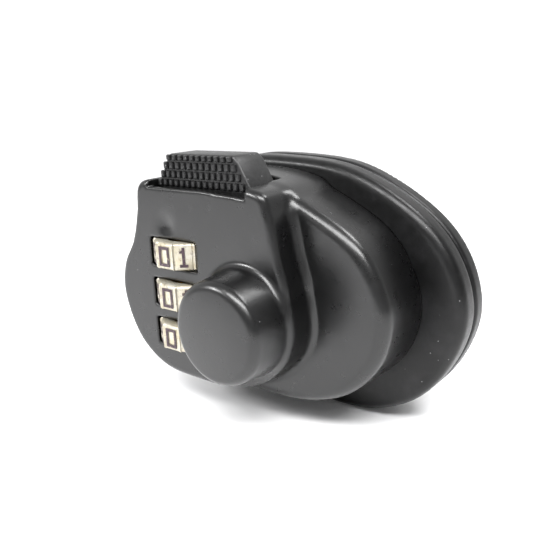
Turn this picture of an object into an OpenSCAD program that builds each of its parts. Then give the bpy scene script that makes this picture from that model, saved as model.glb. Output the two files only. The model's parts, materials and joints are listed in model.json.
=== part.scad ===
// Three-dial combination trigger lock: two halves on a ratchet post, closed.
// X runs along the lock's length, +Y from the dial face to the back, +Z up.
// The origin is under the middle of the lock, on the surface that it stands on.
// Shapes are drawn about the face datum: the middle dial's centre line where it
// meets the front face, and every node is then set in place by at_datum().

/* [Overall] */
// Left end of the rubber pads from the dial centre line
pad_left = 17.6; // [17:0.1:18]
// Right end of the rubber pads from the dial centre line
pad_right = 49; // [48.5:0.1:49.5]
// Lowest point of the pads below the middle dial
pad_low = 23.4; // [23:0.1:24]
// Depth of the front half's metal shell, face to pad
shell_depth = 18; // [17.6:0.1:18.6]
// Back of the lock from the front face
back_face = 35; // [34:0.1:36]
// Thickness of the zinc walls
wall = 2; // [1.8:0.1:2.2]

/* [Dials] */
// Distance from one dial to the next
dial_pitch = 8; // [7.8:0.1:8.2]
// Radius of a ten-sided dial over its corners
dial_r = 6.9; // [6.6:0.1:7]
// Width of a dial along its axis
dial_w = 5; // [4.8:0.1:5.2]
// Depth of the dial axis behind the front face
dial_depth = 4.3; // [4:0.1:4.3]
// Radius of the hub pressed into each dial
hub_r = 4.2; // [4:0.1:4.4]
// Length of a hub
hub_w = 4.4; // [4.2:0.1:4.6]
// Room between a dial and its window, each side
dial_gap = 0.25; // [0.2:0.05:0.3]

/* [Post] */
// Post axis to the right of the dials
post_x = 17; // [16.8:0.1:17.6]
// Post axis below the middle dial
post_drop = 2; // [1.6:0.1:2.2]
// Radius of the ratchet post
post_r = 4; // [3.8:0.1:4.2]
// Depth of a ratchet groove
groove_depth = 0.7; // [0.5:0.1:0.9]
// Distance from one ratchet groove to the next
groove_pitch = 1.8; // [1.6:0.1:2]
// Radius of the round boss over the post
boss_r = 9.7; // [9.4:0.1:10]
// How far the boss stands out of the front face
boss_height = 8.8; // [8:0.1:9.2]
// Radial room between the post and its bush
running_fit = 0.06; // [0.03:0.01:0.1]

/* [Button] */
// Travel of the release button
button_travel = 2.2; // [2:0.1:2.2]
// Top of the button above the middle dial
button_top = 26.2; // [26:0.1:26.6]
// Left side of the button's skirt from the dials
button_left = 5.3; // [5:0.1:5.4]
// Right side of the button's skirt from the dials
button_right = 17.8; // [17.5:0.1:17.9]
// Front of the button behind the front face
button_front = 2; // [1.9:0.1:2.2]
// Depth of the button from front to back
button_depth = 7.5; // [7:0.1:8]

/* [Pads] */
// Thickness of the front rubber pad
front_pad_t = 4.5; // [4.2:0.1:5]
// Thickness of the back rubber pad
back_pad_t = 3; // [2.8:0.1:3.2]
// Gap between the closed pads
pad_gap = 0.3; // [0.3:0.1:0.5]

/* [Fasteners] */
// Radius of the small screws' threads
screw_r = 1.1; // [1:0.1:1.2]
// Radius of the small screws' heads
screw_head_r = 2; // [1.9:0.1:2.1]
// Radius of a guide pin
pin_r = 1.5; // [1.4:0.1:1.6]

/* [Hidden] */
$fn = 64;
cut = 1;                                  // how far a cutting tool runs past a face
datum = [-(pad_right - pad_left) / 2, -(back_face - boss_height) / 2, pad_low];
post_z = -post_drop;
plateau_depth = 6;                        // step from the front face to the lobe
lobe_wall = 2.4;
cover_t = 1.4;
cover_y = shell_depth - 0.4 - cover_t;    // front of the cover plate
seam_y = shell_depth + front_pad_t;       // back of the front pad
back_pad_y = seam_y + pad_gap;
back_y = back_pad_y + back_pad_t;         // front rim of the back shell
plate_t = 1.5;
window_r = dial_r + 0.4;
window_w = dial_w + 2 * dial_gap;
dial_z = [dial_pitch, 0, -dial_pitch];
spindle_r = 1.45;
hub_bore = spindle_r + 0.05;
gate_w = 1.5;
fin_w = 0.9;
fin_t = 0.8;
fin_r = 3.4;
fin_rest = 1.2;                           // fin to hub when the button is up
link_z = 15.5;                            // underside of the link's flange
lip_z = 20.2;                             // top of the wall in front of the button
link_t = 1.2;
link_y = 13.2;                            // front of the link's upright plate
skirt_z = link_z + link_t;
bush_r = 5.2;
bush_front = -5.5;
tower_r = 7.2;
tower_back = 9;
post_land_r = post_r + 0.4;
flange_r = 6.5;
flange_t = 2;
bearing_low = -13.3;
bearing_top = -11;
strip_y = 11.4;                           // front of the detent spring
strip_t = 0.4;
shelf_z = 9.2;                            // seat of the return spring
return_x = 9.4;
return_y = 5.4;
button_screw_at = [13.2, 6];
cover_screw_at = [[-10.3, 2.6], [24, 13.8], [33.6, -9], [9, -14.6]];
pin_at = [[33.4, 6.2], [-9.8, -5.6]];
detent_screw_at = [[10.4, 4.6], [10.4, -9.5]];
back_screw_at = [[-5.5, 6], [27, 11.5], [30.5, -11], [-3, -12]];
fillet_layers = 3;

// Outlines seen from the front, as [x, z] through which a smooth curve runs.
plateau_pts = [[20.5, 21], [8, 21.9], [-4.5, 21.8], [-8.9, 20.4], [-10.1, 15], [-12, 9.4],
    [-15.1, 4.6], [-16.2, -1], [-14.6, -7.2], [-11, -12.5], [-4.6, -16], [4.6, -16.6],
    [13, -15.9], [21.5, -12.3], [26.4, -5], [26.4, 3.6], [24.8, 10], [23.2, 17.2]];
lobe_pts = [[16.5, 21.8], [5, 22.8], [-5.5, 22.4], [-10.2, 19.2], [-13, 10.5], [-16.3, 4.6],
    [-16.9, -2], [-15.1, -8.6], [-11.2, -13.7], [-4.7, -17], [4.5, -18.4], [14, -18.9],
    [24, -18.3], [32.3, -15.3], [38.2, -9.9], [41, -3.8], [41.1, 2.8], [36.6, 11.5],
    [28.3, 17.1]];
pad_pts = [[12, 24.5], [1, 24], [-9.6, 20.4], [-15.4, 12], [-pad_left, 0], [-15.4, -11.6],
    [-7.5, -19.4], [6, -22.8], [20, -pad_low], [31, -22.7], [40, -18.3], [46.3, -10.4],
    [pad_right, -0.9], [46.3, 8.6], [39.2, 16.3], [26.4, 22.8]];

function step(p, i) = p[(i + len(p)) % len(p)];
function curve(p, n = 5) = [for (i = [0:len(p) - 1]) for (k = [0:n - 1])
    let (a = step(p, i - 1), b = p[i], c = step(p, i + 1), d = step(p, i + 2), t = k / n)
    b + (t * (c - a) + t * t * (2 * a - 5 * b + 4 * c - d)
        + t * t * t * (3 * b - a - 3 * c + d)) / 2];
function outward(p, i) = let (t = step(p, i + 1) - step(p, i - 1)) [t[1], -t[0]] / norm(t);
function inset(p, d) = [for (i = [0:len(p) - 1]) p[i] - d * outward(p, i)];

plateau = curve(plateau_pts);
lobe = curve(lobe_pts);
pad = curve(pad_pts);
// The back shell draws in from the pads' outline to its flat rear face.
dome_depth = back_face - back_y;
dome_steps = 5;
dome_in = 8.5;
function dome(t) = 0.3 + dome_in * pow(t, 1.6);

module at_datum() { translate(datum) children(); }

// A flat slab of an outline, from one depth to another.
module slab(outline, y0, y1) {
    translate([0, y1, 0]) rotate([90, 0, 0]) linear_extrude(y1 - y0) polygon(outline);
}

// A round bar along Y at an [x, z] place.
module bar(at, r, y0, y1) {
    translate([at[0], y1, at[1]]) rotate([90, 0, 0]) cylinder(r = r, h = y1 - y0);
}

module bars(places, r, y0, y1) { for (at = places) bar(at, r, y0, y1); }

// A slab whose front edge is rounded in a few layers.
module soft_slab(outline, y0, y1, r) {
    for (i = [0:fillet_layers - 1]) {
        a = 90 * (i + 0.5) / fillet_layers;
        slab(inset(outline, r * (1 - sin(a))), y0 + r * (1 - cos(a)), y1);
    }
}

// A round body turned about an axis along Y, from [radius, depth] points.
module turned_y(at, profile) {
    translate([at[0], 0, at[1]]) rotate([-90, 0, 0]) rotate_extrude() polygon(profile);
}

module small_screws(places, head_y, head_t, tip_y) {
    for (at = places) difference() {
        union() {
            bar(at, screw_head_r, head_y - head_t, head_y);
            bar(at, screw_r, tip_y, head_y - head_t);
        }
        translate([at[0] - screw_head_r, head_y - 0.4, at[1] - 0.3])
            cube([2 * screw_head_r, cut, 0.6]);
    }
}

module boss_shape() {
    rim = 1.3;
    turned_y([post_x, post_z], concat([[0, -boss_height]],
        [for (a = [0:15:90]) [boss_r - 0.6 - rim + rim * sin(a), rim - boss_height - rim * cos(a)]],
        [[boss_r, 0], [boss_r, plateau_depth + 1], [0, plateau_depth + 1]]));
}

module shell_cavity() {
    slab(inset(plateau, wall), wall, cover_y + cut);
    slab(inset(lobe, lobe_wall), plateau_depth + lobe_wall, cover_y + cut);
    slab(inset(lobe, wall), cover_y, shell_depth + cut);
}

module dial_housing() {
    color([0.14, 0.14, 0.15]) at_datum() difference() {
        union() {
            difference() {
                union() {
                    soft_slab(plateau, 0, shell_depth, 1.2);
                    soft_slab(lobe, plateau_depth, shell_depth, 1.5);
                    boss_shape();
                }
                shell_cavity();
            }
            bar([post_x, post_z], tower_r, wall, tower_back);
            intersection() {
                bars(concat(cover_screw_at, pin_at), 2.4, wall / 2, cover_y);
                union() {
                    slab(inset(plateau, wall / 2), wall / 2, cover_y);
                    slab(inset(lobe, wall / 2), plateau_depth + wall / 2, cover_y);
                }
            }
            bars(detent_screw_at, 1.9, wall - 0.5, strip_y);
            translate([return_x - 2.3, wall - 0.5, shelf_z - 1.4]) cube([7, 7, 1.4]);
        }
        for (z = dial_z) translate([0, dial_depth, z])
            cylinder(r = window_r, h = window_w, center = true);
        bar([post_x, post_z], bush_r, bush_front, tower_back + cut);
        bars(cover_screw_at, screw_r, cover_y - 6, cover_y + cut);
        bars(pin_at, pin_r + running_fit, plateau_depth + lobe_wall + 0.6, cover_y + cut);
        bars(detent_screw_at, screw_r, strip_y - 4, strip_y + cut);
        translate([-button_left - 0.5, button_front - 0.4, link_z - 2.8])
            cube([button_left + button_right + 0.9, button_depth + 0.8, 15]);
        slab([[-button_left - 0.5, lip_z], [8, lip_z], [button_right + 0.4, lip_z - 0.7],
            [button_right + 0.4, button_top], [-button_left - 0.5, button_top]], -cut, button_front);
        translate([-5, wall, link_z - 2.6]) cube([26, cover_y - wall, 5.2]);
        translate([0, dial_depth, bearing_low - 0.7]) cylinder(r = spindle_r + 0.4, h = 2);
    }
}

module cover_plate() {
    color([0.62, 0.63, 0.65]) at_datum() difference() {
        slab(inset(lobe, wall + 0.2), cover_y, cover_y + cover_t);
        bar([post_x, post_z], post_r + 0.9, cover_y - cut, shell_depth);
        bars(cover_screw_at, screw_r + 0.1, cover_y - cut, shell_depth);
        bars(cover_screw_at, screw_head_r + 0.1, cover_y + cover_t - 0.9, shell_depth);
        bars(pin_at, pin_r + running_fit, cover_y - cut, shell_depth);
    }
}

module cover_screws() {
    color([0.75, 0.75, 0.77]) at_datum()
        small_screws(cover_screw_at, cover_y + cover_t, 0.9, cover_y - 5);
}

module front_pad() {
    color([0.1, 0.1, 0.105]) at_datum() difference() {
        union() {
            soft_slab(pad, shell_depth, seam_y, 1.6);
            slab(inset(lobe, wall + 0.4), cover_y + cover_t, shell_depth + 0.1);
        }
        bar([post_x, post_z], post_r + 0.9, shell_depth - 5, seam_y + cut);
        bars(pin_at, pin_r + 0.4, shell_depth - 5, seam_y + cut);
        grip_grooves(seam_y - 0.8, seam_y + cut);
    }
}

// Shallow upright grooves that give the clamp faces their grip.
module grip_grooves(y0, y1) {
    for (x = [-8, -4, 0, 4, 8, 27, 31, 35]) translate([x - 0.6, y0, -12])
        cube([1.2, y1 - y0, 24]);
}

module dial_ring(z) {
    color([0.83, 0.79, 0.68]) at_datum() translate([0, dial_depth, z]) difference() {
        cylinder(r = dial_r, h = dial_w, center = true, $fn = 10);
        cylinder(r = hub_r, h = dial_w + cut, center = true);
    }
}

// The hub has a through gate for the spindle's fin and a shallow false gate opposite.
module dial_hub(z) {
    color([0.8, 0.66, 0.36]) at_datum() translate([0, dial_depth, z]) difference() {
        cylinder(r = hub_r, h = hub_w, center = true);
        cylinder(r = hub_bore, h = hub_w + cut, center = true);
        translate([-gate_w / 2, 0, -hub_w]) cube([gate_w, fin_r + 0.3, 2 * hub_w]);
        translate([-gate_w / 2, -fin_r - 0.3, hub_w / 2 - 1.2]) cube([gate_w, fin_r + 0.3, 3]);
    }
}

module dial_ring_top() { dial_ring(dial_z[0]); }
module dial_ring_middle() { dial_ring(dial_z[1]); }
module dial_ring_bottom() { dial_ring(dial_z[2]); }
module dial_hub_top() { dial_hub(dial_z[0]); }
module dial_hub_middle() { dial_hub(dial_z[1]); }
module dial_hub_bottom() { dial_hub(dial_z[2]); }

module spindle() {
    low = bearing_top - 0.9;
    high = skirt_z + 1.1;
    color([0.7, 0.7, 0.72]) at_datum() translate([0, dial_depth, 0]) difference() {
        union() {
            translate([0, 0, low]) cylinder(r = spindle_r, h = high - low);
            for (z = dial_z) translate([-fin_w / 2, 0, z + hub_w / 2 + fin_rest])
                cube([fin_w, fin_r, fin_t]);
        }
        translate([0, 0, skirt_z + 0.02]) rotate_extrude()
            translate([spindle_r - 0.35, 0]) square([cut, 0.5]);
    }
}

module spindle_clip() {
    color([0.5, 0.5, 0.52]) at_datum() translate([0, dial_depth, skirt_z + 0.02]) difference() {
        cylinder(r = 2.4, h = 0.4);
        translate([0, 0, -cut]) cylinder(r = spindle_r - 0.35, h = 3);
        translate([-0.9, -3, -cut]) cube([1.8, 3, 3]);
    }
}

module spindle_bearing() {
    color([0.8, 0.66, 0.36]) at_datum() difference() {
        translate([-4, wall, bearing_low]) cube([8, cover_y - wall, bearing_top - bearing_low]);
        translate([0, dial_depth, bearing_low - cut]) cylinder(r = hub_bore, h = 5);
    }
}

module detent_spring() {
    color([0.72, 0.73, 0.75]) at_datum() difference() {
        union() {
            translate([8.5, strip_y, -11.6]) cube([3.8, strip_t, 19]);
            for (z = dial_z) translate([-3.2, strip_y, z - 1.8]) cube([11.9, strip_t, 3.6]);
        }
        bars(detent_screw_at, screw_r + 0.1, strip_y - cut, strip_y + cut);
        translate([8, strip_y - cut, 7.5]) cube([5, 3, 5]);
    }
}

module detent_screws() {
    color([0.75, 0.75, 0.77]) at_datum()
        small_screws(detent_screw_at, strip_y + strip_t + 0.9, 0.9, strip_y - 3.5);
}

module post_bush() {
    color([0.8, 0.66, 0.36]) at_datum() difference() {
        union() {
            bar([post_x, post_z], bush_r, bush_front, tower_back);
            bar([post_x, post_z], bush_r + 1.2, tower_back, tower_back + 1);
        }
        bar([post_x, post_z], post_r + running_fit, bush_front - cut, tower_back + 3);
    }
}

// The link carries the button's push to the spindle and to the latch at the post.
module release_link() {
    slot_r = post_r + 0.35;
    color([0.66, 0.67, 0.69]) at_datum() difference() {
        union() {
            translate([-3.4, button_front, link_z])
                cube([18.8, link_y + link_t - button_front, link_t]);
            translate([6, link_y, 6]) cube([13, link_t, link_z + link_t - 6]);
            translate([11, link_y, -9]) cube([12.6, link_t, 17]);
            translate([14.4, link_y, -12.8]) cube([6, link_t, 4]);
        }
        slab([for (a = [0:10:350]) [post_x + slot_r * cos(a + 5),
            post_z + slot_r * sin(a + 5) + (a < 180 ? button_travel : 0)]], link_y - cut, link_y + 3);
        translate([0, dial_depth, link_z - cut]) cylinder(r = spindle_r + 0.05, h = 4);
        translate(concat(button_screw_at, link_z - cut)) cylinder(r = screw_r + 0.1, h = 4);
    }
}

module button_screw() {
    color([0.75, 0.75, 0.77]) at_datum() translate(concat(button_screw_at, link_z))
    difference() {
        union() {
            translate([0, 0, -0.9]) cylinder(r = 1.6, h = 0.9);
            cylinder(r = screw_r, h = 5);
        }
        translate([-2, -0.3, -0.9 - cut]) cube([4, 0.6, cut + 0.4]);
    }
}

// Leaf riveted behind the link: its lip rests in a groove of the post.
module latch_spring() {
    lip = post_z - post_r + groove_depth - 0.2;
    color([0.72, 0.73, 0.75]) at_datum()
        translate([post_x - 1.5, link_y + link_t, -12]) cube([3, strip_t, lip + 12]);
}

module latch_rivets() {
    color([0.75, 0.75, 0.77]) at_datum() for (z = [-8, -10.6])
        bar([post_x, z], 0.9, link_y + link_t + strip_t, link_y + link_t + strip_t + 0.5);
}

function coil(turns, r, wire, h, sides, rings) = [for (i = [0:rings]) for (k = [0:sides - 1])
    let (a = 360 * turns * i / rings, w = 360 * k / sides, s = r + wire * cos(w))
    [s * cos(a), s * sin(a), h * i / rings + wire * sin(w)]];

module return_spring() {
    sides = 6;
    rings = 60;
    wire = 0.25;
    free = link_z - shelf_z - 2 * wire - 0.1;
    color([0.75, 0.75, 0.77]) at_datum() translate([return_x, return_y, shelf_z + wire + 0.05])
        polyhedron(coil(5, 1.6, wire, free, sides, rings), concat(
            [[for (k = [0:sides - 1]) k], [for (k = [0:sides - 1]) sides * (rings + 1) - 1 - k]],
            [for (i = [0:rings - 1]) for (k = [0:sides - 1]) let (n = (k + 1) % sides)
                [sides * i + k, sides * (i + 1) + k, sides * (i + 1) + n, sides * i + n]]));
}

// Thumb button: a bevelled trapezium cap on a straight skirt, ridged on its front.
module release_button() {
    base = 20.4;
    lean = 3.2;
    color([0.2, 0.2, 0.21]) at_datum() difference() {
        union() {
            slab([[-button_left, skirt_z], [button_right, skirt_z], [button_right, base],
                [button_right - lean + 0.6, button_top - 1], [button_right - lean - 0.7, button_top],
                [lean - button_left + 0.4, button_top], [lean - button_left - 0.2, button_top - 1],
                [-button_left, base]], button_front + 0.5, button_front + button_depth);
            for (row = [0:3]) {
                z = base - 0.05 + 1.56 * row;
                side = max(0, z + 1.1 - base) * lean / (button_top - base);
                wide = button_left + button_right - 2 * side - 0.8;
                count = floor(wide / 1.7);
                for (col = [0:count - 1]) translate([side + 0.65 - button_left
                    + wide * col / count, button_front, z]) cube([1.2, 0.6, 1.05]);
            }
        }
        translate([-3.6, button_front + 2, skirt_z - cut]) cube([13.4, button_depth - 4, 4.2]);
        translate(concat(button_screw_at, skirt_z - cut)) cylinder(r = screw_r, h = 5);
        translate([0, dial_depth, skirt_z - cut]) cylinder(r = 2.8, h = cut + 1.8);
    }
}

// Closed profile of the post: tip, ratchet grooves, plain shank, seating land and flange.
module ratchet_post() {
    tip = bush_front + 1;
    plate_back = back_y + plate_t;
    first = link_y + link_t + strip_t / 2;
    grooves = [for (i = [7:-1:0]) first - groove_pitch * i];
    root = post_r - groove_depth;
    color([0.7, 0.7, 0.72]) at_datum() turned_y([post_x, post_z], concat(
        [[0, tip], [post_r - 1, tip], [post_r, tip + 1]],
        [for (y = grooves) each [[post_r, y - 0.9], [root, y - 0.4], [root, y + 0.4],
            [post_r, y + 0.5]]],
        [[post_r, back_y - 0.3], [post_land_r, back_y - 0.3], [post_land_r, plate_back],
            [flange_r, plate_back], [flange_r, plate_back + flange_t],
            [0, plate_back + flange_t]]));
}

module guide_pins() {
    tip = plateau_depth + lobe_wall + 1.2;
    plate_back = back_y + plate_t;
    color([0.7, 0.7, 0.72]) at_datum() for (at = pin_at) turned_y(at,
        [[0, tip], [pin_r - 0.5, tip], [pin_r, tip + 0.5], [pin_r, plate_back],
            [pin_r + 0.6, plate_back], [pin_r + 0.6, plate_back + 1], [0, plate_back + 1]]);
}

module back_pad() {
    color([0.1, 0.1, 0.105]) at_datum() difference() {
        slab(pad, back_pad_y, back_y);
        bar([post_x, post_z], post_r + 0.9, back_pad_y - cut, back_y + cut);
        bars(pin_at, pin_r + 0.4, back_pad_y - cut, back_y + cut);
        grip_grooves(back_pad_y - cut, back_pad_y + 0.8);
    }
}

module back_plate() {
    color([0.62, 0.63, 0.65]) at_datum() difference() {
        slab(inset(pad, 4.2), back_y, back_y + plate_t);
        bar([post_x, post_z], post_land_r, back_y - cut, back_y + 3);
        bars(pin_at, pin_r, back_y - cut, back_y + 3);
        bars(back_screw_at, screw_r + 0.1, back_y - cut, back_y + 3);
        bars(back_screw_at, screw_head_r + 0.1, back_y - cut, back_y + 0.9);
    }
}

module back_plate_screws() {
    color([0.75, 0.75, 0.77]) at_datum() for (at = back_screw_at) difference() {
        union() {
            bar(at, screw_head_r, back_y, back_y + 0.9);
            bar(at, screw_r, back_y + 0.9, back_y + 5.4);
        }
        translate([at[0] - screw_head_r, back_y - cut, at[1] - 0.3])
            cube([2 * screw_head_r, cut + 0.4, 0.6]);
    }
}

module back_housing() {
    inner = back_face - wall - 0.4;
    flange_back = back_y + plate_t + flange_t;
    color([0.14, 0.14, 0.15]) at_datum() difference() {
        union() {
            difference() {
                for (i = [0:dome_steps - 1]) slab(inset(pad, dome((i + 0.5) / dome_steps)),
                    back_y, back_y + dome_depth * (i + 1) / dome_steps);
                slab(inset(pad, 4), back_y - cut, back_y + plate_t);
                slab(inset(pad, 4.4), back_y, back_y + 3);
                slab(inset(pad, 6), back_y, back_y + 4.6);
                slab(inset(pad, 8.6), back_y, inner);
            }
            bars(back_screw_at, 2.6, back_y + plate_t, inner + cut);
            bar([post_x, post_z], flange_r, flange_back, inner + cut);
        }
        bars(back_screw_at, screw_r, back_y, back_y + 6);
    }
}

dial_housing();
cover_plate();
cover_screws();
front_pad();
dial_ring_top();
dial_ring_middle();
dial_ring_bottom();
dial_hub_top();
dial_hub_middle();
dial_hub_bottom();
spindle();
spindle_clip();
spindle_bearing();
detent_spring();
detent_screws();
post_bush();
release_link();
button_screw();
latch_spring();
latch_rivets();
return_spring();
release_button();
ratchet_post();
guide_pins();
back_pad();
back_plate();
back_plate_screws();
back_housing();
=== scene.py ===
import json
import math

import bmesh
import bpy
import numpy as np
from mathutils import Matrix, Vector


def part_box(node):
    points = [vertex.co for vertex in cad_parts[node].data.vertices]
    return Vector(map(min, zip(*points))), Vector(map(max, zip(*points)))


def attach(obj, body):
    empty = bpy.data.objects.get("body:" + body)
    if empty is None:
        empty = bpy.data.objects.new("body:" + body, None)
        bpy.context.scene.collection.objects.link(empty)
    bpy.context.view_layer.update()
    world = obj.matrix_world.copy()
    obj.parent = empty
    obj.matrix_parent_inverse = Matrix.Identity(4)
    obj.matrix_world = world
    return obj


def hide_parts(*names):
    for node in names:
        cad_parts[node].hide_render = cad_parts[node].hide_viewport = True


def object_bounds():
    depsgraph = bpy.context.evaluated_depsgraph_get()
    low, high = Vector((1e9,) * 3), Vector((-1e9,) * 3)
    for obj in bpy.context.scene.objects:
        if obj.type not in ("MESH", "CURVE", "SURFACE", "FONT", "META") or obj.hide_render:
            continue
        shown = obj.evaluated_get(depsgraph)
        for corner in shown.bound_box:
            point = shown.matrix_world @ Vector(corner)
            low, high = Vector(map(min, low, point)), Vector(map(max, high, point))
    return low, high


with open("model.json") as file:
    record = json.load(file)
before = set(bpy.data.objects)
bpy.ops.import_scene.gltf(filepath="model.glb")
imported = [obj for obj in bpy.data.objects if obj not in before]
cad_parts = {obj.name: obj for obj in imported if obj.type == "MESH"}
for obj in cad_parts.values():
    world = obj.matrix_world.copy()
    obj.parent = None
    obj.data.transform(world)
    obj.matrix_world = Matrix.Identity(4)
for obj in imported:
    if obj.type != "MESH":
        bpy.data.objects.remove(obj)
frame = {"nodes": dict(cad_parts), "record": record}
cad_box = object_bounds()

# ---------------------------------------------------------------- dimensions
# Shapes are drawn in millimetres about the face datum: the middle dial's centre
# line where it meets the front face. X runs along the lock, Y to its back, Z up.
# Points given as pairs are (x, z).
MM = 0.001
DIAL_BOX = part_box("dial_ring_middle")
PAD_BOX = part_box("front_pad")
SHELL_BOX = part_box("back_housing")
BUTTON_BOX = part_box("release_button")
POST_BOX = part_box("ratchet_post")
SHELL_DEPTH = 18.0
FRONT_PAD_T = 4.5
BACK_PAD_T = 3.0
DATUM = Vector((
    (DIAL_BOX[0].x + DIAL_BOX[1].x) / 2,
    PAD_BOX[1].y - (SHELL_DEPTH + FRONT_PAD_T) * MM,
    (DIAL_BOX[0].z + DIAL_BOX[1].z) / 2,
))


def from_datum(box):
    """Low and high corners of a CAD node's box, in millimetres about the datum."""
    return [tuple(v / MM - d / MM for v, d in zip(corner, DATUM)) for corner in box]


BACK_LOW, BACK_HIGH = from_datum(SHELL_BOX)
POST_LOW, POST_HIGH = from_datum(POST_BOX)
BUTTON_LOW, BUTTON_HIGH = from_datum(BUTTON_BOX)

WALL = 2.0
LOBE_WALL = 2.4
LOBE_Y = 6.0                # front of the lobe, behind the front face
COVER_Y = 16.2              # front of the cover plate
SEAM_Y = SHELL_DEPTH + FRONT_PAD_T
BACK_Y = BACK_LOW[1]
BACK_PAD_Y = BACK_Y - BACK_PAD_T
BACK_FACE = BACK_HIGH[1]

POST_X = (POST_LOW[0] + POST_HIGH[0]) / 2
POST_Z = (POST_LOW[2] + POST_HIGH[2]) / 2
POST_AT = (POST_X, POST_Z)
POST_R = 4.0
TOWER_R = 7.2               # wall around the post's bush
TOWER_BACK = 9.0
BUSH_R = 5.2
BUSH_FRONT = -5.5
BOSS_R = 9.7
BOSS_HEIGHT = 8.8
BOSS_BACK = 8.0             # its foot ends inside the shell

DIAL_PITCH = 8.0
DIAL_R = 6.9
DIAL_W = 5.0
DIAL_DEPTH = 4.3
DIAL_SIDES = 10
DIAL_FLAT = DIAL_R * math.cos(math.pi / DIAL_SIDES)
HUB_R = 4.2
WINDOW_W = 5.5
WINDOW_R = 7.3

PINS = ((33.4, 6.2), (-9.8, -5.6))
PIN_HOLE_R = 1.9
COVER_SCREWS = ((-10.3, 2.6), (24.0, 13.8), (33.6, -9.0), (9.0, -14.6))
SCREW_POST_R = 2.4
BACK_SCREWS = ((-5.5, 6.0), (27.0, 11.5), (30.5, -11.0), (-3.0, -12.0))

PLATEAU = ((20.5, 21), (8, 21.9), (-4.5, 21.8), (-8.9, 20.4), (-10.1, 15), (-12, 9.4),
           (-15.1, 4.6), (-16.2, -1), (-14.6, -7.2), (-11, -12.5), (-4.6, -16),
           (4.6, -16.6), (13, -15.9), (21.5, -12.3), (26.4, -5), (26.4, 3.6),
           (24.8, 10), (23.2, 17.2))
LOBE = ((16.5, 21.8), (5, 22.8), (-5.5, 22.4), (-10.2, 19.2), (-13, 10.5), (-16.3, 4.6),
        (-16.9, -2), (-15.1, -8.6), (-11.2, -13.7), (-4.7, -17), (4.5, -18.4),
        (14, -18.9), (24, -18.3), (32.3, -15.3), (38.2, -9.9), (41, -3.8),
        (41.1, 2.8), (36.6, 11.5), (28.3, 17.1))
PAD = ((12, 24.5), (1, 24), (-9.6, 20.4), (-15.4, 12), (-17.6, 0), (-15.4, -11.6),
       (-7.5, -19.4), (6, -22.8), (20, -23.4), (31, -22.7), (40, -18.3), (46.3, -10.4),
       (49, -0.9), (46.3, 8.6), (39.2, 16.3), (26.4, 22.8))


def place(points):
    """Points in millimetres about the datum, as metres in the part's frame."""
    return np.asarray(points, float) * MM + np.array(DATUM)


# ---------------------------------------------------------------- outlines
CURVE_STEPS = 16            # from each given point to the next


def smooth_curve(points):
    """A closed curve through the points, and the same number of steps between each pair."""
    p = np.array(points, float)
    a, b, c, d = np.roll(p, 1, 0), p, np.roll(p, -1, 0), np.roll(p, -2, 0)
    t = (np.arange(CURVE_STEPS) / CURVE_STEPS)[None, :, None]
    a, b, c, d = a[:, None], b[:, None], c[:, None], d[:, None]
    curve = b + (t * (c - a) + t**2 * (2 * a - 5 * b + 4 * c - d)
                 + t**3 * (3 * b - a - 3 * c + d)) / 2
    return curve.reshape(-1, 2)


class Outline:
    """Signed distance to a closed outline, tabulated on a fine grid. Inside is negative."""

    CELL = 0.12
    MARGIN = 9.0

    def __init__(self, points):
        self.curve = smooth_curve(points)
        self.low = self.curve.min(0) - self.MARGIN
        size = self.curve.max(0) + self.MARGIN - self.low
        nx, nz = np.ceil(size / self.CELL).astype(int) + 2
        x = self.low[0] + self.CELL * np.arange(nx)
        z = self.low[1] + self.CELL * np.arange(nz)
        self.table = self._distance(*np.meshgrid(x, z, indexing="ij"))

    def _distance(self, x, z):
        best = np.full(x.shape, 1e9)
        inside = np.zeros(x.shape, bool)
        start, end = self.curve, np.roll(self.curve, -1, 0)
        for (ax, az), (bx, bz) in zip(start, end):
            ex, ez = bx - ax, bz - az
            t = np.clip(((x - ax) * ex + (z - az) * ez) / (ex * ex + ez * ez), 0, 1)
            best = np.minimum(best, (x - ax - t * ex) ** 2 + (z - az - t * ez) ** 2)
            if az != bz:
                inside ^= ((az > z) != (bz > z)) & (x < ex * (z - az) / ez + ax)
        return np.where(inside, -1, 1) * np.sqrt(best)

    def __call__(self, x, z):
        u = np.clip((x - self.low[0]) / self.CELL, 0, self.table.shape[0] - 1.001)
        v = np.clip((z - self.low[1]) / self.CELL, 0, self.table.shape[1] - 1.001)
        i, k = u.astype(int), v.astype(int)
        u, v, table = u - i, v - k, self.table
        return ((1 - u) * (1 - v) * table[i, k] + u * (1 - v) * table[i + 1, k]
                + (1 - u) * v * table[i, k + 1] + u * v * table[i + 1, k + 1])


plateau = Outline(PLATEAU)
lobe = Outline(LOBE)
pad = Outline(PAD)


# ---------------------------------------------------------------- distance fields
def both(a, b, r):
    """Intersection of two fields with an edge rounded to radius r."""
    corner = np.hypot(np.maximum(a + r, 0), np.maximum(b + r, 0))
    return np.minimum(np.maximum(a, b), -r) + corner


def either(a, b, r):
    """Union of two fields with an inner corner filled to radius r."""
    return -both(-a, -b, r)


def cut(a, b, r):
    """Field a less field b, with an edge rounded to radius r."""
    return both(a, -b, r)


def rod(at, r, x, z):
    return np.hypot(x - at[0], z - at[1]) - r


def block(x, y, z, low, high, r=0.0):
    """A box with its edges rounded to radius r."""
    d = [np.maximum(l - v, v - h) + r for v, l, h in zip((x, y, z), low, high)]
    outside = np.sqrt(sum(np.maximum(e, 0) ** 2 for e in d))
    return outside + np.minimum(np.maximum(np.maximum(d[0], d[1]), d[2]), 0) - r


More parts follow.
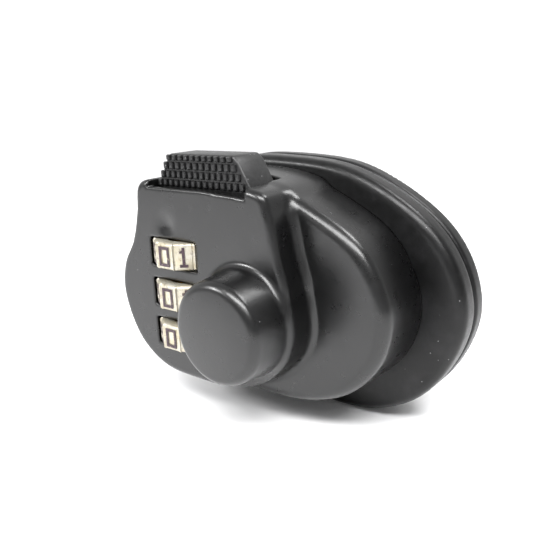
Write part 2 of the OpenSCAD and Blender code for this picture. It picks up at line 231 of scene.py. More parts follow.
# ---------------------------------------------------------------- meshing
def edge_crossings(values, cells):
    """Sum and number of the points where each cell's edges cross the surface."""
    total = np.zeros(cells + (3,))
    count = np.zeros(cells)
    for axis in range(3):
        others = [n for n in range(3) if n != axis]
        for corner in range(4):
            near = [0, 0, 0]
            near[others[0]], near[others[1]] = corner & 1, corner >> 1
            far = list(near)
            far[axis] = 1
            a, b = (values[tuple(slice(o, o + n) for o, n in zip(offset, cells))]
                    for offset in (near, far))
            crossed = (a < 0) != (b < 0)
            t = np.where(crossed, a / np.where(a == b, 1, a - b), 0)
            for n in range(3):
                total[..., n] += crossed * (t if n == axis else near[n])
            count += crossed
    return total, count


def quads_across(inside, number):
    """For each grid edge that crosses the surface, a quad of the four cells around it."""
    quads = []
    for axis in range(3):
        u, v = (axis + 1) % 3, (axis + 2) % 3
        near = [slice(1, -1)] * 3
        near[axis] = slice(0, -1)
        ahead = list(near)
        ahead[axis] = slice(1, None)
        a, b = inside[tuple(near)], inside[tuple(ahead)]
        for flip, crossed in ((False, a & ~b), (True, ~a & b)):
            at = np.argwhere(crossed)
            at[:, u] += 1
            at[:, v] += 1
            ring = []
            for du, dv in ((-1, -1), (0, -1), (0, 0), (-1, 0)):
                c = at.copy()
                c[:, u] += du
                c[:, v] += dv
                ring.append(number[c[:, 0], c[:, 1], c[:, 2]])
            quads.append(np.stack(ring[::-1] if flip else ring, 1))
    return np.concatenate(quads)


def settled(points, field, step):
    """The vertices after a few Newton steps onto the field's zero surface."""
    h, rounds = 0.02, 4
    for _ in range(rounds):
        x, y, z = points.T
        f = field(x, y, z)
        slope = np.stack([
            field(x + h, y, z) - field(x - h, y, z),
            field(x, y + h, z) - field(x, y - h, z),
            field(x, y, z + h) - field(x, y, z - h),
        ], 1) / (2 * h)
        move = f[:, None] * slope / np.maximum((slope**2).sum(1), 0.25)[:, None]
        length = np.linalg.norm(move, axis=1, keepdims=True)
        points = points - move * np.minimum(1, 0.3 * step / np.maximum(length, 1e-9))
    return points


def surface(field, low, high, step):
    """Vertices and quads of a field's zero surface, from a grid of the given step."""
    axes = [np.arange(l, h + step, step) for l, h in zip(low, high)]
    values = field(*np.meshgrid(*axes, indexing="ij"))
    total, count = edge_crossings(values, tuple(n - 1 for n in values.shape))
    active = count > 0
    where = np.argwhere(active)
    points = np.array(low) + step * (where + total[active] / count[active][:, None])
    number = np.full(count.shape, -1)
    number[active] = np.arange(len(where))
    return settled(points, field, step), quads_across(values < 0, number)


def new_piece(name, points, faces, material, smooth=True):
    """A mesh object from points in millimetres about the datum."""
    mesh = bpy.data.meshes.new(name)
    faces = faces.tolist() if isinstance(faces, np.ndarray) else faces
    mesh.from_pydata(place(points).tolist(), [], faces)
    mesh.validate()
    if smooth:
        mesh.polygons.foreach_set("use_smooth", [True] * len(mesh.polygons))
    mesh.update()
    mesh.materials.append(material)
    piece = bpy.data.objects.new(name, mesh)
    bpy.context.scene.collection.objects.link(piece)
    return piece


def solid_piece(name, field, low, high, step, material):
    points, quads = surface(field, low, high, step)
    return new_piece(name, points, quads, material)


def weld(piece, distance):
    """Merges points closer than distance millimetres."""
    bm = bmesh.new()
    bm.from_mesh(piece.data)
    bmesh.ops.remove_doubles(bm, verts=bm.verts, dist=distance * MM)
    bmesh.ops.recalc_face_normals(bm, faces=bm.faces)
    bm.to_mesh(piece.data)
    bm.free()


def soften(piece, width, segments):
    """Rounds a piece's edges with a bevel of width millimetres, applied to the mesh."""
    bevel = piece.modifiers.new("edges", "BEVEL")
    bevel.width = width * MM
    bevel.segments = segments
    bevel.limit_method = "ANGLE"
    bevel.angle_limit = math.radians(25)
    graph = bpy.context.evaluated_depsgraph_get()
    mesh = bpy.data.meshes.new_from_object(piece.evaluated_get(graph))
    piece.modifiers.clear()
    piece.data = mesh
    mesh.polygons.foreach_set("use_smooth", [True] * len(mesh.polygons))
    mesh.set_sharp_from_angle(angle=math.radians(32))


# ---------------------------------------------------------------- materials
class Nodes:
    """A new node material, with short helpers to add and join its nodes."""

    def __init__(self, name):
        self.material = bpy.data.materials.new(name)
        self.material.use_nodes = True
        self.tree = self.material.node_tree
        self.shader = self.tree.nodes["Principled BSDF"]
        self.place = self.add("ShaderNodeTexCoord").outputs["Object"]

    def add(self, kind, **values):
        node = self.tree.nodes.new(kind)
        for key, value in values.items():
            socket = node.inputs.get(key.replace("_", " "))
            if socket is None:
                setattr(node, key, value)
            else:
                socket.default_value = value
        return node

    def join(self, output, socket):
        self.tree.links.new(output, socket)

    def noise(self, size, detail=3.0, roughness=0.5):
        """Noise whose main grain is size millimetres."""
        node = self.add("ShaderNodeTexNoise", Scale=1 / (size * MM), Detail=detail,
                        Roughness=roughness)
        self.join(self.place, node.inputs["Vector"])
        return node.outputs["Fac"]

    def cells(self, size):
        node = self.add("ShaderNodeTexVoronoi", Scale=1 / (size * MM), Randomness=1.0)
        self.join(self.place, node.inputs["Vector"])
        return node

    def ramp(self, value, stops):
        """Maps a value through (position, grey or colour) stops."""
        node = self.add("ShaderNodeValToRGB")
        ramp = node.color_ramp
        while len(ramp.elements) < len(stops):
            ramp.elements.new(0.5)
        for element, (at, colour) in zip(ramp.elements, stops):
            element.position = at
            grey = isinstance(colour, (int, float))
            element.color = (colour, colour, colour, 1) if grey else (*colour, 1)
        self.join(value, node.inputs["Fac"])
        return node.outputs["Color"]

    def math(self, operation, a, b):
        node = self.add("ShaderNodeMath", operation=operation)
        for value, socket in zip((a, b), node.inputs):
            if isinstance(value, (int, float)):
                socket.default_value = value
            else:
                self.join(value, socket)
        return node.outputs[0]

    def mix(self, factor, a, b):
        """Mixes two colours, each a colour output or a plain (r, g, b)."""
        node = self.add("ShaderNodeMix", data_type="RGBA")
        for value, socket in ((factor, node.inputs[0]), (a, node.inputs[6]), (b, node.inputs[7])):
            if isinstance(value, (int, float)):
                socket.default_value = value
            elif isinstance(value, tuple):
                socket.default_value = (*value, 1)
            else:
                self.join(value, socket)
        return node.outputs[2]

    def specks(self, size, share, spread):
        """Sparse round specks, 1 on a speck: one in share of the cells has one."""
        node = self.cells(spread)
        near = self.math("LESS_THAN", node.outputs["Distance"], size / spread)
        pick = self.add("ShaderNodeSeparateColor")
        self.join(node.outputs["Color"], pick.inputs[0])
        chosen = self.math("LESS_THAN", pick.outputs[0], share)
        return self.math("MULTIPLY", near, chosen)

    def bump(self, height, depth):
        node = self.add("ShaderNodeBump", Strength=1.0, Distance=depth * MM)
        self.join(height, node.inputs["Height"])
        self.join(node.outputs["Normal"], self.shader.inputs["Normal"])

    def finish(self, colour, roughness, **values):
        """Joins the colour and roughness, and sets the shader's other sockets by name."""
        self.join(colour, self.shader.inputs["Base Color"])
        if isinstance(roughness, float):
            self.shader.inputs["Roughness"].default_value = roughness
        else:
            self.join(roughness, self.shader.inputs["Roughness"])
        for key, value in values.items():
            self.shader.inputs[key.replace("_", " ")].default_value = value
        return self.material


def black_shell_material():
    """Satin black coat on cast zinc: fine orange peel, cloudy sheen and a few dust specks."""
    n = Nodes("satin_black_coat")
    cloud = n.noise(9, 4, 0.6)
    colour = n.ramp(cloud, [(0.3, (0.0011, 0.0011, 0.0012)), (0.7, (0.0028, 0.0028, 0.003))])
    colour = n.mix(n.specks(0.09, 0.16, 1.9), colour, (0.2, 0.2, 0.21))
    rough = n.ramp(n.noise(2.4, 5, 0.65), [(0.3, 0.26), (0.7, 0.33)])
    peel = n.math("ADD", n.noise(0.55, 2), n.math("MULTIPLY", n.noise(0.16, 2), 0.3))
    n.bump(peel, 0.012)
    return n.finish(colour, rough, Specular_IOR_Level=0.53)


def rubber_material():
    """Dark moulded rubber, drier than the coat, with lint and a dusty bloom."""
    n = Nodes("moulded_rubber")
    bloom = n.ramp(n.noise(7, 5, 0.7), [(0.5, 0.0), (0.78, 1.0)])
    colour = n.mix(bloom, (0.0012, 0.0012, 0.0013), (0.009, 0.009, 0.0095))
    colour = n.mix(n.specks(0.1, 0.3, 1.6), colour, (0.14, 0.14, 0.145))
    rough = n.ramp(n.noise(1.2, 4, 0.6), [(0.3, 0.29), (0.7, 0.41)])
    n.bump(n.noise(0.3, 4, 0.7), 0.018)
    return n.finish(colour, rough, Specular_IOR_Level=0.3)


def plastic_material():
    """Matte moulded plastic with a spark-eroded grain and pale rubbed spots."""
    n = Nodes("matte_plastic")
    worn = n.ramp(n.noise(0.5, 4, 0.7), [(0.45, 0.0), (0.75, 1.0)])
    colour = n.mix(worn, (0.0025, 0.0025, 0.0027), (0.012, 0.012, 0.0126))
    colour = n.mix(n.specks(0.09, 0.3, 0.9), colour, (0.2, 0.2, 0.205))
    rough = n.ramp(n.noise(0.8, 3), [(0.3, 0.34), (0.7, 0.48)])
    n.bump(n.noise(0.3, 4, 0.7), 0.012)
    return n.finish(colour, rough, Specular_IOR_Level=0.45)


def dial_material():
    """Pale worn plating with brassy patches and grime."""
    n = Nodes("worn_pale_plating")
    patch = n.ramp(n.noise(2.2, 5, 0.7), [(0.35, 0.0), (0.68, 1.0)])
    colour = n.mix(patch, (0.5, 0.48, 0.42), (0.4, 0.35, 0.24))
    grime = n.ramp(n.noise(0.7, 5, 0.75), [(0.56, 0.0), (0.72, 1.0)])
    colour = n.mix(grime, colour, (0.1, 0.075, 0.05))
    rough = n.ramp(n.noise(0.9, 4, 0.6), [(0.3, 0.26), (0.7, 0.46)])
    n.bump(n.noise(0.35, 4, 0.6), 0.02)
    return n.finish(colour, rough, Metallic=0.55)


def ink_material():
    """Dark purple-brown paint in the digits, worn through to the plating in patches."""
    n = Nodes("dial_ink")
    paint = [(0.3, (0.016, 0.007, 0.012)), (0.75, (0.05, 0.022, 0.034))]
    colour = n.ramp(n.noise(0.4, 4, 0.7), paint)
    worn = n.ramp(n.noise(1.1, 5, 0.7), [(0.6, 0.0), (0.66, 1.0)])
    colour = n.mix(worn, colour, (0.34, 0.3, 0.22))
    n.bump(n.noise(0.2, 3), 0.01)
    return n.finish(colour, n.ramp(n.noise(0.6, 3), [(0.3, 0.4), (0.7, 0.6)]))


def metal_material(name, low, high, rough, grain):
    """Machined or rolled metal: grain is the size of its marks in millimetres."""
    n = Nodes(name)
    colour = n.ramp(n.noise(grain * 4, 5, 0.6), [(0.3, low), (0.7, high)])
    roughness = n.ramp(n.noise(grain, 4, 0.6), [(0.3, rough - 0.07), (0.7, rough + 0.08)])
    n.bump(n.noise(grain * 0.5, 3, 0.6), 0.006)
    return n.finish(colour, roughness, Metallic=1.0)


FINISHES = {
    "black_shell": black_shell_material(),
    "rubber_pad": rubber_material(),
    "button_plastic": plastic_material(),
    "dial_metal": dial_material(),
    "dial_ink": ink_material(),
    "brass": metal_material("turned_brass", (0.62, 0.44, 0.17), (0.8, 0.6, 0.28), 0.32, 0.5),
    "steel": metal_material("turned_steel", (0.42, 0.42, 0.43), (0.62, 0.62, 0.63), 0.26, 0.4),
    "screw_steel": metal_material("plated_screws", (0.5, 0.5, 0.5), (0.7, 0.7, 0.68), 0.34, 0.3),
    "spring_steel": metal_material("spring_steel", (0.3, 0.3, 0.33), (0.5, 0.5, 0.53), 0.3, 0.3),
    "zinc_plate": metal_material("plated_sheet", (0.42, 0.43, 0.45), (0.62, 0.63, 0.66), 0.4, 1.4),
}


def dress_cad_nodes():
    """Gives each CAD node the finish of its material slot."""
    for row in frame["record"]["subparts"]:
        node = frame["nodes"].get(row["node"])
        node.data.materials.clear()
        node.data.materials.append(FINISHES[row["material_slot"]])


def finished(piece, body, slot, *nodes):
    """Attaches a piece to the body it rides with and hides the CAD nodes it redraws. The slot
    argument is not used.
    """
    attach(piece, body)
    if nodes:
        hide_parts(*nodes)


# ---------------------------------------------------------------- front shell
WALL_DRAFT = 0.035
FACE_EDGE_R = 1.25
LOBE_EDGE_R = 2.1
STEP_FILLET_R = 1.6
BOSS_DRAFT = 0.08
BOSS_CROWN = 0.9            # how far the boss's face bulges
BOSS_EDGE_R = 1.3
BOSS_FILLET_R = 1.2
DENT_AT = (-1.5, 13.2)
DENT_DEPTH = 0.6
DENT_SPREAD = 3.4
BUTTON_POCKET = ((-5.8, 1.6, 12.6), (18.2, 9.9, 40))
BUTTON_OPENING = ((-5.8, -20, 12.6), (18.2, 2.6, 40))
LIP_Z = 20.2                # top of the wall in front of the button
LIP_BEND_X = 8.0            # from here on the lip falls to the right
LIP_FALL = 0.07
LINK_WAY = ((-5, WALL, 12.9), (21, COVER_Y, 18.1))
CUT_EDGE_R = 0.3            # on the edges of the windows and the button's opening
SHELL_LOW = (-17.2, -8.8, -20)      # the meshing grid's corners
SHELL_HIGH = (42.6, 18.8, 23.8)
SHELL_STEP = 0.36


def dial_windows(x, y, z):
    """Round recesses that hold the dials and open the front face as windows."""
    round_part = np.hypot(x, y - DIAL_DEPTH) - WINDOW_R
    field = 1e3
    for i in (-1, 0, 1):
        across = np.abs(z - i * DIAL_PITCH) - WINDOW_W / 2
        field = np.minimum(field, both(round_part, across, 0.25))
    return field


def shell_hollow(x, y, z):
    """The inside of the front shell, less the tower and the screw and pin posts."""
    wide = np.maximum(plateau(x, z) + WALL, WALL - y)
    deep = np.maximum(lobe(x, z) + LOBE_WALL, LOBE_Y + LOBE_WALL - y)
    seat = np.maximum(lobe(x, z) + WALL, COVER_Y - y)
    hollow = np.minimum(np.minimum(wide, deep), seat)
    posts = np.maximum(rod(POST_AT, TOWER_R, x, z), y - TOWER_BACK)
    for at in COVER_SCREWS + PINS:
        posts = np.minimum(posts, np.maximum(rod(at, SCREW_POST_R, x, z), y - COVER_Y))
    return np.maximum(hollow, -posts)


def boss(x, y, z):
    from_axis = ((x - POST_X) ** 2 + (z - POST_Z) ** 2) / BOSS_R**2
    side = rod(POST_AT, BOSS_R + BOSS_DRAFT * y, x, z)
    face = BOSS_CROWN * from_axis - BOSS_HEIGHT - y
    return np.maximum(both(side, face, BOSS_EDGE_R), y - BOSS_BACK)


def button_room(x, y, z):
    """The button's pocket, and its opening above the lip of the front wall."""
    lip = np.where(x < LIP_BEND_X, LIP_Z, LIP_Z - LIP_FALL * (x - LIP_BEND_X))
    opening = np.maximum(block(x, y, z, *BUTTON_OPENING, CUT_EDGE_R), lip - z)
    return np.minimum(block(x, y, z, *BUTTON_POCKET, 0.5), opening)


def front_shell(x, y, z):
    """The whole front shell: drafted plateau on the lobe, boss, windows and hollow."""
    draft = WALL_DRAFT * (SHELL_DEPTH - y)
    upper = both(plateau(x, z) + 0.25 * draft, -y, FACE_EDGE_R)
    lower = both(lobe(x, z) + 0.6 * draft, LOBE_Y - y, LOBE_EDGE_R)
    body = either(upper, lower, STEP_FILLET_R)
    body = either(body, boss(x, y, z), BOSS_FILLET_R)
    body = both(body, y - SHELL_DEPTH, 0.3)
    from_dent = (x - DENT_AT[0]) ** 2 + (z - DENT_AT[1]) ** 2
    body = body + np.where(y < 1, DENT_DEPTH * np.exp(-from_dent / DENT_SPREAD), 0)
    body = cut(body, dial_windows(x, y, z), CUT_EDGE_R)
    body = cut(body, button_room(x, y, z), CUT_EDGE_R)
    body = np.maximum(body, -shell_hollow(x, y, z))
    bore = np.maximum(rod(POST_AT, BUSH_R, x, z), BUSH_FRONT - y)
    return np.maximum(body, -np.minimum(bore, block(x, y, z, *LINK_WAY)))


def make_front_shell():
    piece = solid_piece("front_shell", front_shell, SHELL_LOW, SHELL_HIGH, SHELL_STEP,
                        FINISHES["black_shell"])
    finished(piece, "dial_half", "black_shell", "dial_housing")


# ---------------------------------------------------------------- pads and back shell
GRIP_X = (-8, -4, 0, 4, 8, 27, 31, 35)
GRIP_HALF_W = 0.6
GRIP_HALF_H = 12
GRIP_DEPTH = 0.8
PAD_RIM_R = 1.7             # the front pad's soft rim
PLUG_INSET = 2.4
PLUG_Y = (17.6, 20)
SEAM_EDGE_R = 0.8
PAD_LOW = (-18, -26.2)      # where the meshing grids of pads and back shell start
PAD_HIGH = (50, 25.8)
PAD_STEP = 0.45
BACK_DRAW_IN = 8.5          # how far the back shell draws in at its rear face
BACK_EDGE_R = 2.2
FLANGE_R = 6.5
BACK_POST_R = 2.6
BACK_SCREW_R = 1.1


def pad_holes(x, z):
    field = rod(POST_AT, POST_R + 0.9, x, z)
    for at in PINS:
        field = np.minimum(field, rod(at, PIN_HOLE_R, x, z))
    return field


def grip_grooves(x, z, depth):
    """Upright grooves in a clamp face, where depth is zero. Into the pad it's negative."""
    field = 1e3
    for centre in GRIP_X:
        groove = both(np.abs(x - centre) - GRIP_HALF_W, np.abs(z) - GRIP_HALF_H, 0.4)
        field = np.minimum(field, groove)
    return both(field, -depth - GRIP_DEPTH, 0.3)


def front_pad_field(x, y, z):
    """Clamp pad with a plug into the back of the front shell."""
    body = both(pad(x, z), SHELL_DEPTH - y, PAD_RIM_R)
    body = both(body, y - SEAM_Y, SEAM_EDGE_R)
    plug = np.maximum(lobe(x, z) + PLUG_INSET, PLUG_Y[0] - y)
    body = np.minimum(body, np.maximum(plug, y - PLUG_Y[1]))
    body = cut(body, pad_holes(x, z), 0.4)
    return cut(body, grip_grooves(x, z, y - SEAM_Y), 0.2)


def back_pad_field(x, y, z):
    body = both(pad(x, z), BACK_PAD_Y - y, SEAM_EDGE_R)
    body = both(body, y - BACK_Y, 0.25)
    body = cut(body, pad_holes(x, z), 0.4)
    return cut(body, grip_grooves(x, z, BACK_PAD_Y - y), 0.2)


def back_hollow(edge, x, y, z):
    """Steps that follow the draw-in of the back shell, less its flange and screw posts."""
    inner = BACK_FACE - WALL - 0.4
    field = np.maximum(edge + 8.6, y - inner)
    for margin, depth in ((4, 1.5), (4.4, 3), (6, 4.6)):
        field = np.minimum(field, np.maximum(edge + margin, y - BACK_Y - depth))
    posts = np.maximum(rod(POST_AT, FLANGE_R, x, z), BACK_Y + 3.5 - y)
    for at in BACK_SCREWS:
        stem = np.maximum(rod(at, BACK_POST_R, x, z), BACK_Y + 1.5 - y)
        posts = np.minimum(posts, np.maximum(stem, -rod(at, BACK_SCREW_R, x, z)))
    return np.maximum(field, -posts)


def back_shell_field(x, y, z):
    edge = pad(x, z)
    t = np.clip((y - BACK_Y) / (BACK_FACE - BACK_Y), 0, 1)
    draw_in = 0.3 + BACK_DRAW_IN * t**1.6
    body = both((edge + draw_in) * 0.86, y - BACK_FACE, BACK_EDGE_R)
    body = both(body, BACK_Y - y, 0.5)
    return np.maximum(body, -back_hollow(edge, x, y, z))


def pad_piece(name, field, y_low, y_high, body, slot, node):
    """A piece within the pads' outline, meshed between two depths."""
    low = (PAD_LOW[0], y_low, PAD_LOW[1])
    high = (PAD_HIGH[0], y_high, PAD_HIGH[1])
    piece = solid_piece(name, field, low, high, PAD_STEP, FINISHES[slot])
    finished(piece, body, slot, node)


def make_pads_and_back_shell():
    pad_piece("front_clamp_pad", front_pad_field, 16.8, SEAM_Y + 1,
              "dial_half", "rubber_pad", "front_pad")
    pad_piece("back_clamp_pad", back_pad_field, BACK_PAD_Y - 1, BACK_Y + 1,
              "back_half", "rubber_pad", "back_pad")
    pad_piece("back_shell", back_shell_field, BACK_Y - 1, BACK_FACE + 1,
              "back_half", "black_shell", "back_housing")


# ---------------------------------------------------------------- dials
# Squared digits, five cells wide and seven high, each row from the top.
DIGITS = (
    ("#####", "#...#", "#...#", "#...#", "#...#", "#...#", "#####"),
    ("..#..", ".##..", "..#..", "..#..", "..#..", "..#..", ".###."),
    ("#####", "....#", "....#", "#####", "#....", "#....", "#####"),
    ("#####", "....#", "....#", ".####", "....#", "....#", "#####"),
    ("#...#", "#...#", "#...#", "#####", "....#", "....#", "....#"),
    ("#####", "#....", "#....", "#####", "....#", "....#", "#####"),
    ("#####", "#....", "#....", "#####", "#...#", "#...#", "#####"),
    ("#####", "....#", "....#", "...#.", "..#..", "..#..", "..#.."),
    ("#####", "#...#", "#...#", "#####", "#...#", "#...#", "#####"),
    ("#####", "#...#", "#...#", "#####", "....#", "....#", "#####"),
)
CELL_W = 0.53
CELL_H = 0.53
INK_T = 0.03                # how far the ink stands out of a facet
INK_SUNK = 0.02
CELL_CORNERS = ((0, -1), (1, -1), (1, 0), (0, 0))
# The corners of a cell's sides, by the (column, row) step to the cell beyond each.
CELL_SIDES = {(0, 1): (0, 1, 5, 4), (1, 0): (1, 2, 6, 5),
              (0, -1): (2, 3, 7, 6), (-1, 0): (3, 0, 4, 7)}


def facet_frame(n):
    """Outward and sideways directions of a dial's facet n. Facet 0 faces the front."""
    turn = math.radians(-90 + 360 / DIAL_SIDES * n)
    out = np.array((math.cos(turn), math.sin(turn), 0))
    return out, np.array((-out[1], out[0], 0))


def inked(rows, r, c):
    return 0 <= r < len(rows) and 0 <= c < len(rows[r]) and rows[r][c] == "#"


def ink_corners(centre, n, r, c):
    """The eight corners of the cell at row r and column c of facet n."""
    out, side = facet_frame(n)
    left, top = (c - 2.5) * CELL_W, (3.5 - r) * CELL_H
    return [centre + out * (DIAL_FLAT + lift) + side * (left + du * CELL_W)
            + np.array((0, 0, top + dv * CELL_H))
            for lift in (-INK_SUNK, INK_T) for du, dv in CELL_CORNERS]


def make_digits(name, centre):
    """Thin raised ink cells, one digit to a facet."""
    points, faces = [], []
    for n, rows in enumerate(DIGITS):
        for r, c in np.ndindex(len(rows), len(rows[0])):
            if not inked(rows, r, c):
                continue
            rings = [(3, 2, 1, 0), (4, 5, 6, 7)]
            rings += [ring for (dc, dr), ring in CELL_SIDES.items()
                      if not inked(rows, r + dr, c + dc)]
            faces += [[len(points) + k for k in ring] for ring in rings]
            points += ink_corners(centre, n, r, c)
    piece = new_piece(name, points, faces, FINISHES["dial_ink"], smooth=False)
    weld(piece, 0.004)
    return piece


RIB = 0.16                  # height of the ribs between facets
# Across a facet from rib to rib: place along it, and height as a share of the rib's.
FACET = ((0.0, 1.0), (0.035, 0.95), (0.06, -0.6), (0.095, -0.6), (0.12, 0.0), (0.5, 0.0),
         (0.88, 0.0), (0.905, -0.6), (0.94, -0.6), (0.965, 0.95))


def ring_rim():
    """Angle and radius of the points around a dial's rim."""
    angles, radii = [], []
    for n in range(DIAL_SIDES):
        for u, rise in FACET:
            along = (2 * u - 1) * math.tan(math.pi / DIAL_SIDES) * DIAL_FLAT
            angles.append(math.radians(-90 + 360 / DIAL_SIDES * n)
                          + math.atan2(along, DIAL_FLAT))
            radii.append(math.hypot(along, DIAL_FLAT) + (rise - 1) * RIB)
    return angles, radii


def make_dial_ring(name, centre):
    """Ten-sided ring: flat facets between fine raised ribs, bevelled rims and a round bore."""
    half, bore = DIAL_W / 2, HUB_R + 0.02
    profile = ((bore, -half), (DIAL_R - 0.9, -half), (DIAL_R - 0.32, -half),
               (DIAL_R, -half + 0.3), (DIAL_R, half - 0.3), (DIAL_R - 0.32, half),
               (DIAL_R - 0.9, half), (bore, half))
    angles, radii = ring_rim()
    points = []
    for radius, z in profile:
        for angle, limit in zip(angles, radii):
            r = radius if radius < DIAL_R - 1 else radius - DIAL_R + limit
            points.append(centre + np.array((r * math.cos(angle), r * math.sin(angle), z)))
    count, rings = len(angles), len(profile)
    faces = []
    for i in range(rings):
        j = (i + 1) % rings
        for k in range(count):
            m = (k + 1) % count
            faces.append([i * count + k, j * count + k, j * count + m, i * count + m])
    piece = new_piece(name, points, faces, FINISHES["dial_metal"], smooth=False)
    weld(piece, 0.002)
    soften(piece, 0.06, 2)
    return piece


def make_dials():
    for i, place_name in ((1, "top"), (0, "middle"), (-1, "bottom")):
        centre = np.array((0, DIAL_DEPTH, i * DIAL_PITCH))
        body = "dial_" + place_name
        ring = make_dial_ring("numbered_ring_" + place_name, centre)
        finished(ring, body, "dial_metal", "dial_ring_" + place_name)
        finished(make_digits("digits_" + place_name, centre), body, "dial_ink")


# ---------------------------------------------------------------- button
BUTTON_BASE = 20.4          # top of the straight skirt
BUTTON_LEAN = 3.2           # how far the sloping ends lean in
STUD_ROWS = 4
STUD_PITCH = 1.42
STUD_ROW_PITCH = 1.6
STUD_HEIGHT = 1.36
STUD_GAP = 0.58
STUD_LOW = 20.2
STUD_OUT = 0.5              # how far the studs stand out of the button's face
BUTTON_FACE = BUTTON_LOW[1] + STUD_OUT


def button_outline():
    """The cap from the front: a straight skirt, sloping ends and cut corners."""
    (left, _, low), (right, _, top) = BUTTON_LOW, BUTTON_HIGH
    lean = BUTTON_LEAN
    return [(left, low), (right, low), (right, BUTTON_BASE), (right - lean + 0.6, top - 1.1),
            (right - lean - 0.7, top), (left + lean + 0.4, top),
            (left + lean - 0.2, top - 0.9), (left, BUTTON_BASE)]


def make_button_cap():
    outline = button_outline()
    count = len(outline)
    points = [(x, y, z) for y in (BUTTON_FACE, BUTTON_HIGH[1]) for x, z in outline]
    faces = [list(range(count)), list(range(2 * count - 1, count - 1, -1))]
    for k in range(count):
        m = (k + 1) % count
        faces.append([k, k + count, m + count, m])
    piece = new_piece("thumb_button", points, faces, FINISHES["button_plastic"], smooth=False)
    weld(piece, 0.001)
    soften(piece, 0.45, 3)
    finished(piece, "release", "button_plastic", "release_button")


def stud_places():
    """Left and right sides, foot and top of every stud, row by row from the lowest."""
    left, right, top = BUTTON_LOW[0], BUTTON_HIGH[0], BUTTON_HIGH[2]
    for row in range(STUD_ROWS):
        low = STUD_LOW + STUD_ROW_PITCH * row
        rise = (low + STUD_HEIGHT / 2 - BUTTON_BASE) / (top - BUTTON_BASE)
        side = max(0.0, rise) * BUTTON_LEAN
        start, end = left + side + 0.35, right - side - 0.45
        number = int((end - start) // STUD_PITCH)
        step = (end - start) / number
        for col in range(number):
            x0 = start + step * col
            yield x0, x0 + step - STUD_GAP, low, low + min(STUD_HEIGHT, top - 0.15 - low)


def make_studs():
    """Rows of small studs on the button's front, each tapered towards its tip."""
    points, faces = [], []
    for x0, x1, z0, z1 in stud_places():
        foot = [(x0, z0), (x1, z0), (x1, z1), (x0, z1)]
        tip = [(x0 + 0.14, z0 + 0.22), (x1 - 0.12, z0 + 0.22),
               (x1 - 0.12, z1 - 0.14), (x0 + 0.14, z1 - 0.14)]
        first = len(points)
        for y, ring in ((BUTTON_FACE + 0.15, foot), (BUTTON_FACE - 0.12, foot),
                        (BUTTON_LOW[1], tip)):
            points += [(x, y, z) for x, z in ring]
        for a, b in ((0, 4), (4, 8)):
            for k in range(4):
                m = (k + 1) % 4
                faces.append([first + a + k, first + a + m, first + b + m, first + b + k])
        faces.append([first + 8 + k for k in range(4)])
        faces.append([first + k for k in (3, 2, 1, 0)])
    piece = new_piece("thumb_studs", points, faces, FINISHES["button_plastic"], smooth=False)
    weld(piece, 0.001)
    soften(piece, 0.07, 2)
    finished(piece, "release", "button_plastic")


# ---------------------------------------------------------------- stage
# The camera's place in millimetres about the datum, and its up and back directions.
CAMERA_AT = (88.25, -79.23, 36.42)
CAMERA_UP = (-0.1325, 0.2305, 0.964)
CAMERA_BACK = (0.619, -0.745, 0.261)
CAMERA_LENS = 43.9
CAMERA_SENSOR = 36
FLOOR_HALF = 0.48           # metres
FLOOR_DROP = 0.00002        # metres below the part's lowest point
WHITE_SIDE = (-0.64, 0.77, 0.0)     # the studio is brightest behind the lock
DIM_LEVEL, WHITE_LEVEL = 0.5, 1.15
FADE_FROM, FADE_TO = -0.2, 0.7      # how far a direction leans towards the white side


def make_camera():
    data = bpy.data.cameras.new("camera")
    data.lens = CAMERA_LENS
    data.sensor_width = CAMERA_SENSOR
    data.clip_start = 0.005
    data.clip_end = 10
    camera = bpy.data.objects.new("camera", data)
    back = Vector(CAMERA_BACK).normalized()
    up = Vector(CAMERA_UP)
    up = (up - back * up.dot(back)).normalized()
    turn = Matrix((up.cross(back), up, back)).transposed().to_4x4()
    at = Vector(place([CAMERA_AT])[0].tolist())
    camera.matrix_world = Matrix.Translation(at) @ turn
    bpy.context.scene.collection.objects.link(camera)
    bpy.context.scene.camera = camera


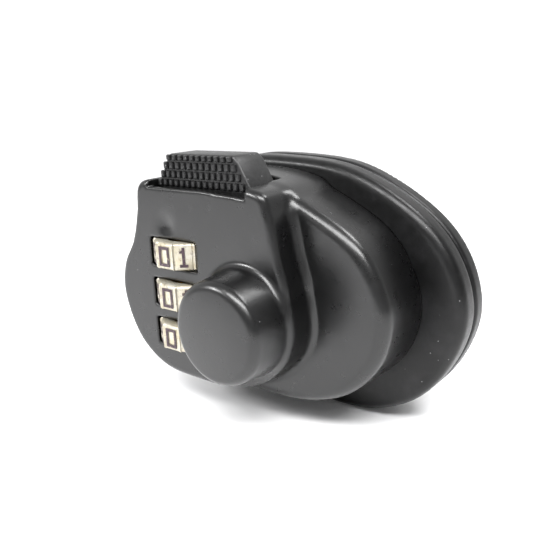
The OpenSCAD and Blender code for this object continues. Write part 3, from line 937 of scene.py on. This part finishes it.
def make_floor():
    half, floor_z = FLOOR_HALF, cad_box[0][2] - FLOOR_DROP
    mesh = bpy.data.meshes.new("floor")
    corners = [(-half, -half), (half, -half), (half, half), (-half, half)]
    mesh.from_pydata([(x, y, floor_z) for x, y in corners], [], [(0, 1, 2, 3)])
    floor = bpy.data.objects.new("floor", mesh)
    bpy.context.scene.collection.objects.link(floor)
    n = Nodes("white_sweep")
    colour = n.ramp(n.noise(30, 3), [(0.3, (0.93, 0.93, 0.94)), (0.7, (0.96, 0.96, 0.965))])
    mesh.materials.append(n.finish(colour, 0.45))


def area_light(name, at, aim, size, power):
    data = bpy.data.lights.new(name, "AREA")
    data.shape = "RECTANGLE"
    data.size, data.size_y = size
    data.energy = power
    light = bpy.data.objects.new(name, data)
    light.location = at
    light.rotation_euler = (Vector(aim) - Vector(at)).to_track_quat("-Z", "Y").to_euler()
    bpy.context.scene.collection.objects.link(light)


def make_world():
    """Even white light that fades from the white side to the side in front of the lock."""
    world = bpy.data.worlds.new("studio")
    world.use_nodes = True
    tree = world.node_tree
    background = tree.nodes["Background"]
    background.inputs["Color"].default_value = (1, 1, 1, 1)
    direction = tree.nodes.new("ShaderNodeTexCoord")
    toward = tree.nodes.new("ShaderNodeVectorMath")
    toward.operation = "DOT_PRODUCT"
    toward.inputs[1].default_value = WHITE_SIDE
    level = tree.nodes.new("ShaderNodeMapRange")
    for socket, value in (("From Min", FADE_FROM), ("From Max", FADE_TO),
                          ("To Min", DIM_LEVEL), ("To Max", WHITE_LEVEL)):
        level.inputs[socket].default_value = value
    tree.links.new(direction.outputs["Generated"], toward.inputs[0])
    tree.links.new(toward.outputs["Value"], level.inputs["Value"])
    tree.links.new(level.outputs["Result"], background.inputs["Strength"])
    bpy.context.scene.world = world


def make_lights():
    """A long window at the front right, a wash on the floor and a box behind. In metres."""
    lock = (0.0, 0.0, 0.025)
    area_light("window", (0.15, -0.25, 0.43), lock, (0.55, 0.14), 5.5)
    area_light("floor_wash", (-0.34, -0.42, 0.32), (-0.15, -0.19, 0.0), (0.12, 0.12), 2.5)
    area_light("back_right_box", (0.16, 0.24, 0.5), lock, (0.16, 0.16), 1.4)
    bpy.context.scene.view_settings.view_transform = "Standard"


# ---------------------------------------------------------------- assembly
make_camera()
make_floor()
make_world()
make_lights()
dress_cad_nodes()
make_front_shell()
make_pads_and_back_shell()
make_dials()
make_button_cap()
make_studs()
